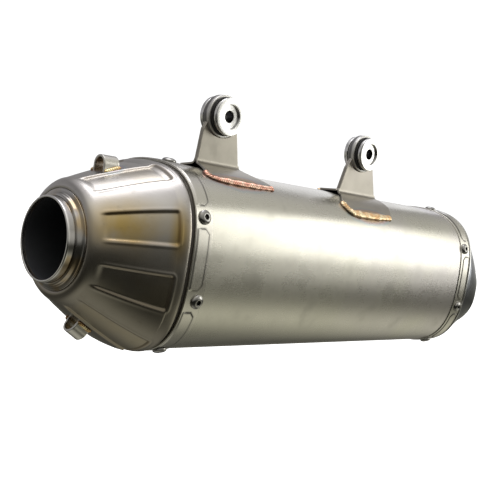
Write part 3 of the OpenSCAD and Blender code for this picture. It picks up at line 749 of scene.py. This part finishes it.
def make_cone():
    """Spun cone with eight stamped recesses, a rolled neck and a rolled shoulder."""
    angle = around(CONE_COUNT)
    rings, recess, edge = [], [], []

    def add(x, y, z, depth=0.0, rim=0.0):
        rings.append(section(x, y, z))
        recess.append(np.broadcast_to(depth, CONE_COUNT))
        edge.append(np.broadcast_to(rim, CONE_COUNT))

    for x, r in LIP:
        add(x, *circle(r, angle))
    shoulder_x, sides, tops = np.transpose(SHOULDER)
    for x in np.linspace(NECK_X, shoulder_x[-1], 150):
        if x < FLARE_X:
            y, z = cone_section(x, angle)
        else:
            side, top = np.interp(x, shoulder_x, sides), np.interp(x, shoulder_x, tops)
            y, z = oval(angle, HALF + side, TOP + top, BOTTOM + side)
        r = np.hypot(y, z)
        inside = panel_inside(x, angle, r)
        fade = smooth((x - NECK_X) / 6)
        depth = smooth((inside - 0.1) / 1.35) * fade
        bead = np.exp(-((inside + 0.8) / 0.8) ** 2) * fade * 0.2
        # rim marks the panel rims, where the paint lays a line of painted shade
        rim = np.exp(-((inside - 0.5) / 0.7) ** 2) * fade
        scale = 1 + (bead - PANEL_DEPTH * depth) / r
        add(x, y * scale, z * scale, depth, rim)
    drop = -2.6
    for x, inset in ((66.4, -1.4), (67.2, drop), (65.3, drop - 0.4)):
        add(x, *oval(angle, HALF + inset, TOP + inset, BOTTOM + inset))
    for x in np.linspace(FLARE_X, NECK_X + 4, 8):
        add(x, *cone_section(x, angle, CONE_WALL + PANEL_DEPTH))
    for x, r in ((13.5, 34.6), (11.5, 30.3), (9.0, 30.3)):
        add(x, *circle(r, angle))
    add_loft("inlet_cone_stamped", rings, CONE, "inlet_cone", 50,
             {"recess": recess, "edge": edge})


make_cone()

# ---- Turned pieces ----

TURN_COUNT = 160


def add_turned(name, points, radii, axis, centre, material, nodes, body="root", marks=None):
    """Closed outline [radius, place] with rounded corners, turned round X or Y."""
    profile = rounded(points, radii)
    angle = around(TURN_COUNT)
    r, place = profile[:, 0][:, None], profile[:, 1][:, None]
    along = np.broadcast_to(place, (len(profile), TURN_COUNT))
    first, second = circle(r, angle)
    verts = np.stack([along, first, second] if axis == "x" else [second, along, first], -1)
    area = np.sum(profile[:, 0] * np.roll(profile[:, 1], -1)
                  - np.roll(profile[:, 0], -1) * profile[:, 1])
    faces = grid_faces(len(profile), TURN_COUNT, close_rows=True)
    values = {key: np.repeat([rule(r, p) for r, p in profile], TURN_COUNT)
              for key, rule in (marks or {}).items()}
    return add_piece(name, verts.reshape(-1, 3) + np.array(centre), faces if area < 0 else flip(faces),
                     material, nodes, body, 40, values)


def block(inner, outer, start, end):
    """Rectangular outline [radius, place]."""
    return [(inner, start), (outer, start), (outer, end), (inner, end)]


add_turned("inlet_mouth_pipe", block(BORE_R, PIPE_R, 0, PIPE_END),
           [0.45, 0.85, 0.2, 0.2], "x", (0, 0, 0), INLET_PIPE, ["inlet_pipe"])
add_turned("inlet_step_collar",
           [(PIPE_R + 0.05, 4.6), (27.3, 5.0), (27.75, 7.3), (28.9, 7.9), (30.25, 8.2), (30.25, 12),
            (PIPE_R + 0.05, 12)],
           [0.3, 0.8, 0.5, 0.4, 0.5, 0.2, 0.2], "x", (0, 0, 0), INLET_PIPE,
           ["inlet_collar"])
add_turned("outlet_pipe_tube", block(OUT_BORE_R, OUT_R, OUT_LO[0], OUT_HI[0]),
           [0.2, 0.2, 0.4, 0.4], "x", (0, 0, OUT_Z), OUTLET_PIPE, ["outlet_pipe"])
add_turned("outlet_rolled_tip", block(OUT_R + 0.05, TIP_R, TIP_LO[0], TIP_HI[0]),
           [0.1, 1.4, 1.4, 0.1], "x", (0, 0, OUT_Z), OUTLET_PIPE, ["outlet_tip"])

for end, centre in EYES.items():
    bush = bush_paint(end + "_bush_aluminium", centre)
    add_turned(end + "_collar_ring", block(11.95, 14.3, -2.2, 3.4),
               [0.3, 0.7, 0.7, 0.3], "y", centre, RING, [end + "_hanger_ring"],
               marks={"edge": lambda r, p: float(r > 13.6 and (p < -1.4 or p > 2.9))})
    add_turned(end + "_rubber_grommet",
               [(6.95, -4.0), (13, -4.0), (13, -2.25), (11.9, -2.25), (11.9, 3.45), (13, 3.45),
                (13, 5.0), (6.95, 5.0)],
               [0.2, 0.7, 0.5, 0.1, 0.1, 0.5, 0.7, 0.2], "y", centre, RUBBER,
               [end + "_grommet"])
    add_turned(end + "_bush_face",
               [(4.0, -6.6), (8.1, -6.6), (8.1, -8.35), (12.6, -8.35), (12.6, -7.6), (11.9, -7.4),
                (11.9, -6.8), (12.5, -6.5), (12.3, -4.6), (11.7, -4.1), (6.9, -4.1), (6.9, 8.35),
                (4.0, 8.35)],
               [0.3, 0.25, 0.25, 0.35, 0.2, 0.2, 0.2, 0.4, 0.4, 0.2, 0.1, 0.3, 0.3], "y", centre,
               bush, [end + "_bush_near"], end + "_bush",
               # marked groove, bore and counterbore wall get near-black painted shade
               marks={"edge": lambda r, p: float(11.8 < r < 12.4 and -7.7 < p < -6.7
                                                 or r < 4.01 and p > -6.4
                                                 or 8.0 < r < 8.2 and p > -8.1)})
    add_turned(end + "_bush_back_flange", block(6.92, 13.2, 5.1, 8.35),
               [0.15, 0.4, 0.8, 0.3], "y", centre, bush, [end + "_bush_far"],
               end + "_bush")

# ---- Outlet cap ----

CAP_COUNT = 288
# x, half width, top, bottom and height of the centre; the first four draw the rolled rim
CAP_STATIONS = np.array([
    (397.2, 54.2, 56.3, 63.8, 0), (397.5, 54.9, 57.0, 64.5, 0), (398.5, 54.9, 56.8, 64.3, 0),
    (399.1, 54.2, 54.6, 61.9, -0.6), (404, 54.2, 50, 57, -2), (412, 53.4, 41, 47.5, -5),
    (420, 51.8, 33, 40, -9), (426, 49.6, 28.5, 34, -11), (430, 46, 26.5, 30, -12),
    (431.8, 42.6, 25.7, 28.2, -12.3), (432.5, 39.5, 25.0, 26.8, -12.5)])


def smooth_rows(table, parts):
    """Catmull-Rom rows between the stations, so the skin has no creases."""
    rows = []
    for i in range(len(table) - 1):
        a, b = table[max(i - 1, 0)], table[i]
        c, d = table[i + 1], table[min(i + 2, len(table) - 1)]
        for t in np.linspace(0, 1, parts, endpoint=False):
            rows.append(0.5 * (2 * b + (c - a) * t + (2 * a - 5 * b + 4 * c - d) * t * t
                               + (3 * b - a - 3 * c + d) * t ** 3))
    rows.append(table[-1])
    return rows


def make_cap():
    angle = around(CAP_COUNT)
    rings, rim = [], []
    stations = list(CAP_STATIONS[:4]) + smooth_rows(CAP_STATIONS[3:], 7)[1:]

    def add(x, y, z, mark=0.0):
        rings.append(section(x, y, z))
        rim.append(np.full(CAP_COUNT, mark))

    # the first three rows mark the rolled rim, painted near white by the cap's paint as a painted
    # highlight
    for j, (x, half, top, bottom, zc) in enumerate(stations):
        y, z = oval(angle, half, top, bottom)
        add(x, y, z + zc, 1.0 if j < 3 else 0.0)
    hole = OUT_R + 0.1
    for x, r in ((432.9, hole + 1.6), (433.1, hole + 0.8), (432.6, hole), (430.9, hole)):
        y, z = circle(r, angle)
        add(x, y, OUT_Z + z)
    for x, half, top, bottom, zc in CAP_STATIONS[-2:3:-1]:
        y, z = oval(angle, half - 1.7, top - 1.7, bottom - 1.7)
        add(x - 0.9, y, z + zc)
    add(397.2, *oval(angle, HALF - 2.6, TOP - 2.6, BOTTOM - 2.6))
    add_loft("outlet_end_cap", rings, CAP, "outlet_cap", 45, {"edge": rim})


make_cap()

# ---- Hangers ----

FOLD_RADIUS = 2.2
SEAT_GAP = 0.3
RING_R = 14.35
# z and x pair of a tab's foot, then of its shoulder
TABS = {"front": (58.2, (101, 140.3), 81.9, (102.7, 134.1)),
        "rear": (55.2, (237.6, 285.8), 76.5, (243.7, 277.9))}


def hanger_sheet(end, side, foot_y, lift, leg_left, leg_right):
    """Bent sheet: a tab that cradles the ring, a rounded fold and a leg that lies on the sleeve.
    side is -1 for the outer, near sheet and 1 for the inner, far one; leg_left and leg_right are
    the leg's side edges as lists of [share of the way down, x]."""
    foot_z, foot_x, shoulder_z, shoulder_x = TABS[end]
    eye = EYES[end]
    plane = eye[1] + 0.5
    outer_y = plane + side * SHEET
    cols = 41
    across = np.linspace(0, 1, cols)
    ear_z = eye[2] - 5.5
    fold_top = foot_z + SHEET + FOLD_RADIUS
    ear_x = (eye[0] - 13.4, eye[0] + 13.4)

    def edges(z):
        return [np.interp(z, [foot_z, shoulder_z, ear_z], xs) for xs in zip(foot_x, shoulder_x, ear_x)]

    def add_row(left, right, y, z):
        rows.append(np.stack(np.broadcast_arrays(left + (right - left) * across, y, z), -1))

    top_x = ear_x[0] + (ear_x[1] - ear_x[0]) * across
    drop = np.sqrt(np.maximum(RING_R ** 2 - (top_x - eye[0]) ** 2, 0))
    top_edge = np.minimum(eye[2] - drop, ear_z)
    rows = []
    for v in np.linspace(0, 1, 30):
        z = top_edge + (fold_top - top_edge) * v
        add_row(*edges(z), outer_y, z)
    leg_y = outer_y + side * FOLD_RADIUS

    def leg_z(y):
        t = (y - foot_y) / (plane - foot_y)
        return sleeve_top(y) + SEAT_GAP + SHEET + lift * t * t

    # rounded fold from the tab's face to the leg's face
    corner = np.array([outer_y, leg_z(outer_y)])
    fold_start = np.array([outer_y, fold_top])
    fold_end = np.array([leg_y, leg_z(leg_y)])
    for t in np.linspace(0.12, 0.88, 7):
        y, z = (1 - t) ** 2 * fold_start + 2 * t * (1 - t) * corner + t * t * fold_end
        add_row(*edges(foot_z), y, z)
    for t in np.linspace(0, 1, 30):
        y = leg_y + (foot_y - leg_y) * t
        left, right = (np.interp(t, *np.transpose(edge)) for edge in (leg_left, leg_right))
        add_row(left, right, y, leg_z(y))
    faces = grid_faces(len(rows), cols, close_cols=False)
    place, faces, node = ("outer", flip(faces), "near") if side < 0 else ("inner", faces, "far")
    piece = add_piece(f"{end}_hanger_{place}_sheet", np.concatenate(rows), faces, HANGER,
                      [f"{end}_hanger_{node}"], sharp=60)
    # the sheet's inner side takes the near-black painted shade of the tent's inside
    piece.data.materials.append(TENT_UNDERSIDE_SHADE)
    solid = thicken(piece, SHEET, 0.28)
    solid.use_even_offset = True
    solid.material_offset = 1


hanger_sheet("front", -1, -33.0, 2.0,
             [(0, 101), (0.72, 92.8), (0.86, 92.6), (0.94, 94), (1, 97.5)],
             [(0, 140.3), (0.25, 138.8), (0.5, 140.2), (0.8, 145.8), (0.92, 148.2), (1, 148.6)])
hanger_sheet("front", 1, 15.5, 1.8,
             [(0, 101), (0.8, 103.5), (1, 107)], [(0, 140.3), (0.8, 144), (1, 141)])
hanger_sheet("rear", -1, -41.6, 0.2,
             [(0, 237.6), (0.55, 227.5), (0.75, 225.5), (0.88, 227), (1, 233)],
             [(0, 285.8), (0.3, 287.2), (0.62, 287.4), (0.9, 283.5), (1, 282)])
hanger_sheet("rear", 1, 1.8, 2.2,
             [(0, 237.6), (0.8, 238.5), (1, 241.5)], [(0, 285.8), (0.8, 284), (1, 281)])

# ---- Weld beads ----

RIPPLE = 1.55


def distances(path):
    """How far along a path each of its points lies."""
    return np.concatenate([[0], np.cumsum(np.linalg.norm(np.diff(path, axis=0), axis=1))])


def bead(path, width, height, normals, seed):
    """Rippled bead along points: a rounded tube whose cross-section swells with each ripple."""
    path, normals = np.array(path, float), np.array(normals, float)
    reach = distances(path)
    count = max(int(reach[-1] / 0.22), 8)
    s = np.linspace(0, reach[-1], count)
    centre = np.stack([np.interp(s, reach, path[:, k]) for k in range(3)], -1)
    normal = np.stack([np.interp(s, reach, normals[:, k]) for k in range(3)], -1)
    for _ in range(6):
        centre[1:-1] = (centre[:-2] + 2 * centre[1:-1] + centre[2:]) / 4
    tangent = np.gradient(centre, axis=0)
    tangent /= np.linalg.norm(tangent, axis=1)[:, None]
    side = np.cross(tangent, normal)
    side /= np.linalg.norm(side, axis=1)[:, None]
    normal = np.cross(side, tangent)
    ring = 26
    phi = around(ring)
    random = np.random.default_rng(seed)
    knots = np.arange(0, reach[-1] + 6, 3)
    wobble = np.interp(s, knots, 1 + 0.10 * random.standard_normal(len(knots)))
    end = np.maximum(np.sqrt(np.clip(np.minimum(s, reach[-1] - s) / (width * 0.9), 0, 1)), 0.05)
    verts, ripple, rim = [], [], []
    for j in range(count):
        lag = s[j] + 0.55 * width * np.cos(phi) ** 2
        wave = np.abs(np.sin(np.pi * lag / RIPPLE))
        swell = wobble[j] * end[j]
        w = width * swell * (1 + 0.035 * wave)
        h = height * swell * (0.86 + 0.2 * wave)
        verts.append(centre[j] + side[j] * (w * np.cos(phi))[:, None]
                     + normal[j] * (h * np.sin(phi))[:, None])
        ripple.append(np.clip(1 - wave * 1.6, 0, 1))
        rim.append(smooth((np.abs(np.cos(phi)) - 0.82) / 0.16) + 0 * phi)
    faces = grid_faces(count, ring)
    faces.append(tuple(range(ring))[::-1])
    faces.append(tuple((count - 1) * ring + i for i in range(ring)))
    return np.concatenate(verts), faces, np.concatenate(ripple), np.concatenate(rim)


def surface_path(spots):
    """Points on the sleeve and their normals along a list of [x, y] corners."""
    spots = np.array(spots, float)
    step = distances(spots)
    s = np.linspace(0, step[-1], 10 * len(spots))
    x, y = np.interp(s, step, spots[:, 0]), np.interp(s, step, spots[:, 1])
    points = np.stack([x, y, sleeve_top(y)], -1)
    normals = np.array([sleeve_normal(v, sleeve_top(v)) for v in y])
    return points, normals


def make_beads(name, node, material, runs):
    """runs are [points, normals, half width, height]."""
    parts, ripples, rims = [], [], []
    for seed, (points, normals, width, height) in enumerate(runs):
        v, f, ripple, rim = bead(points, width, height, normals, seed + 7)
        parts.append((v, f))
        ripples.append(ripple)
        rims.append(rim)
    v, f = join(parts)
    add_piece(name, v, f, material, [node], sharp=70,
              marks={"ripple": np.concatenate(ripples), "rim": np.concatenate(rims)})


FRONT_RUN = surface_path([(93.8, -24.5), (92.0, -29.0), (94.2, -31.6), (100, -33.0), (113, -33.7),
                          (133, -34.0), (150.5, -33.3)])
FRONT_FAR_RUN = surface_path([(105, 14), (108, 16.6), (140, 16.6), (143, 14)])
REAR_RUN = surface_path([(225.5, -33.5), (225.0, -37.6), (227.2, -40.6), (231, -42.3), (240, -42.7),
                         (260, -42.7), (281.5, -41.9)])
REAR_FAR_RUN = surface_path([(240, 1.0), (242, 2.9), (281, 2.9), (283, 1.0)])
make_beads("front_foot_weld", "front_hanger_welds", FRONT_BEAD,
           [(*FRONT_RUN, 2.6, 2.2), (*FRONT_FAR_RUN, 1.8, 1.6)])
make_beads("rear_foot_weld", "rear_hanger_welds", REAR_BEAD,
           [(*REAR_RUN, 3.3, 2.6), (*REAR_FAR_RUN, 1.8, 1.6)])

# ---- Spring hooks ----

HOOK_BORE = 4.2
HOOK_OUTER = 5.7
HOOK_LENGTH = 10.8


def hook_frame(origin, slope, sign):
    """Origin and the directions along, across and out of the cone; sign is -1 for its underside."""
    a = math.radians(slope)
    along = np.array([math.cos(a), 0, -math.sin(a)])
    out = sign * np.array([math.sin(a), 0, math.cos(a)])
    return np.array(origin, float), along, -sign * np.cross(out, along), out


def make_hook(name, node, place, crown, front_leg, rear_leg):
    """Strip bent over into an arch; its two legs reach down to the cone at both ends."""
    origin, along, across, out = place
    cols = 13
    flare = 0.5
    s = np.linspace(-HOOK_LENGTH / 2, HOOK_LENGTH / 2, cols)[:, None]
    reach = np.linspace(front_leg, rear_leg, cols)
    leg = [(HOOK_OUTER + flare * share ** 3, -reach * share) for share in np.linspace(0, 1, 8)]
    arc = [(HOOK_OUTER * math.cos(t), np.full(cols, HOOK_OUTER * math.sin(t)))
           for t in np.linspace(0, np.pi, 25)[1:-1]]
    rows = leg[::-1] + arc + [(-u, v) for u, v in leg]
    arch = origin + (crown - HOOK_OUTER) * out
    verts = np.concatenate([arch + s * along + u * across + v[:, None] * out for u, v in rows])
    faces = grid_faces(len(rows), cols, close_cols=False)
    piece = add_piece(name, verts, faces, HOOK, [node], sharp=60)
    middle = piece.data.polygons[len(piece.data.polygons) // 2]
    if middle.normal.dot(Vector(np.array(middle.center) / MM - arch)) < 0:
        piece.data.flip_normals()
    thicken(piece, HOOK_OUTER - HOOK_BORE, 0.3)


TOP_HOOK_LO, TOP_HOOK_HI = box_mm("top_spring_hook")
TOP_HOOK_X = (TOP_HOOK_LO[0] + TOP_HOOK_HI[0]) / 2
TOP_HOOK_SEAT = 45.7
TOP_HOOK = hook_frame((TOP_HOOK_X, 0, TOP_HOOK_SEAT), 0, 1)
make_hook("top_spring_loop", "top_spring_hook", TOP_HOOK, TOP_HOOK_HI[2] - TOP_HOOK_SEAT, 5.2, 1.2)
BOTTOM_HOOK = hook_frame((32.9, 0, -50.9), 33, -1)
make_hook("bottom_spring_loop", "bottom_spring_hook", BOTTOM_HOOK, 8.2, 2.6, 2.6)


def hook_bead_runs(place, slope_up, lift):
    """Short beads beside both feet of a hook, which follow the cone's slope."""
    origin, along, across, out = place
    s = np.linspace(-HOOK_LENGTH / 2 - 0.6, HOOK_LENGTH / 2 + 0.6, 12)
    runs = []
    for side in (-1, 1):
        points = (origin + s[:, None] * along + side * (HOOK_OUTER + 1.2) * across
                  + (lift + slope_up * s)[:, None] * out)
        runs.append((points, np.repeat([out + 0.45 * side * across], len(s), 0), 1.7, 1.5))
    return runs


make_beads("top_loop_weld", "top_hook_welds", HOOK_BEAD,
           hook_bead_runs(TOP_HOOK, math.tan(math.radians(18.9)), -0.5))
make_beads("bottom_loop_weld", "bottom_hook_welds", HOOK_BEAD, hook_bead_runs(BOTTOM_HOOK, 0, 0.1))

# ---- CAD nodes that stay ----

for node in ("inlet_flange", "outlet_flange", "perforated_core", "front_baffle", "rear_baffle",
             "spark_screen", "screen_ring", "inlet_weld_nuts", "outlet_weld_nuts", "packing"):
    for material_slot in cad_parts[node].material_slots:
        material_slot.material = WOOL if node == "packing" else MILL

# ---- Floor, light and world ----

MIDDLE = np.array([0.22, 0.0, 0.0])
FLOOR_HALF = 28.0
FLOOR_Z = -1.6


def make_floor():
    """Plain white floor, far enough below that it hides nothing from a low view."""
    mesh = bpy.data.meshes.new("floor")
    corners = [(x * FLOOR_HALF, y * FLOOR_HALF, FLOOR_Z) for x, y in ((-1, -1), (1, -1), (1, 1), (-1, 1))]
    mesh.from_pydata(corners, [], [(0, 1, 2, 3)])
    floor = bpy.data.objects.new("floor", mesh)
    bpy.context.collection.objects.link(floor)
    paint = Paint("floor_pale", metallic=0.0)
    mesh.materials.append(paint.finish((0.93, 0.93, 0.93, 1), 0.9))
    paint.put(paint.bsdf.inputs["Emission Color"], (1, 1, 1, 1))
    paint.put(paint.bsdf.inputs["Emission Strength"], 0.9)
    floor.visible_glossy = False
    floor.visible_diffuse = False


def softbox(name, azimuth, elevation, distance, width, height, level, colour):
    """Rectangular light aimed at the muffler's middle; level is brightness, whatever its size."""
    data = bpy.data.lights.new(name, "AREA")
    data.shape = "RECTANGLE"
    data.size = width
    data.size_y = height
    data.energy = level * math.pi * width * height
    data.color = colour
    light = bpy.data.objects.new(name, data)
    light.location = Vector(MIDDLE + direction(azimuth, elevation) * distance)
    light.rotation_mode = "QUATERNION"
    light.rotation_quaternion = (Vector(MIDDLE) - light.location).to_track_quat("-Z", "Y")
    bpy.context.collection.objects.link(light)
    light.visible_camera = False


# What the metal sees: brightness by the direction's height, towards the key light, towards the
# camera and behind the muffler
KEY_LEVELS = ((-1.0, 0.40), (-0.92, 0.30), (-0.78, 0.12), (-0.66, 0.36), (-0.52, 0.64),
              (-0.42, 0.50), (-0.30, 0.20), (-0.18, 0.08), (-0.09, 0.16), (0.04, 0.62), (0.30, 0.80),
              (0.50, 0.46), (0.75, 0.65), (1.0, 1.0))
CAMERA_LEVELS = ((-1.0, 0.42), (-0.94, 0.34), (-0.84, 0.15), (-0.70, 0.04), (-0.30, 0.02),
                 (-0.08, 0.03), (0.03, 0.15), (0.14, 0.36), (0.3, 0.38), (0.5, 0.48), (0.75, 0.85),
                 (1.0, 1.2))
FAR_LEVELS = ((-1.0, 0.42), (-0.92, 0.32), (-0.78, 0.14), (-0.62, 0.08), (-0.42, 0.09),
              (-0.28, 0.28), (-0.14, 0.32), (0.0, 0.26), (0.15, 0.40), (0.35, 0.32), (0.6, 0.24),
              (0.8, 0.7), (1.0, 1.0))


def make_world():
    """White for the camera; the object sees a soft studio that darkens towards the table."""
    world = bpy.data.worlds.new("studio")
    sky = Nodes(world)
    place = sky.node("TexCoord").outputs["Generated"]
    height = sky.line(sky.node("SeparateXYZ", {0: place}).outputs[2], 0.5, 0.5)

    def levels(stops, warm_low=0.80, warm_high=0.90):
        """Brightness by the direction's height, with less blue below the horizon."""
        return sky.ramp(height, [
            ((z + 1) / 2, (level, level * 0.98, level * (warm_high if z > -0.02 else warm_low)))
            for z, level in stops])

    felt = levels(FAR_LEVELS, 0.85, 1.0)
    for azimuth, start, full, stops in ((52, 0.34, 0.74, KEY_LEVELS), (-45, 0.08, 0.5, CAMERA_LEVELS)):
        facing = sky.node("VectorMath", {0: place, 1: direction(azimuth, 0)}, operation="DOT_PRODUCT")
        felt = sky.mix(sky.between(facing.outputs["Value"], start, full), felt, levels(stops))
    felt = sky.node("Background", {0: felt}).outputs[0]
    seen = sky.node("Background", {0: (1, 1, 1, 1), 1: 1.1}).outputs[0]
    camera_ray = sky.node("LightPath").outputs["Is Camera Ray"]
    either = sky.node("MixShader", {0: camera_ray, 1: felt, 2: seen}).outputs[0]
    sky.node("OutputWorld", {0: either})
    bpy.context.scene.world = world


make_floor()
make_world()
softbox("key_softbox", 54, 15.0, 1.7, 0.82, 1.09, 1.75, (1.0, 0.995, 0.94))
softbox("top_softbox", 180, 80, 1.5, 0.9, 0.9, 2.3, (0.97, 0.97, 1.0))
softbox("back_softbox", 124, 24, 1.7, 0.7, 0.8, 0.75, (0.94, 0.95, 1.0))
bpy.context.scene.view_settings.view_transform = "Standard"
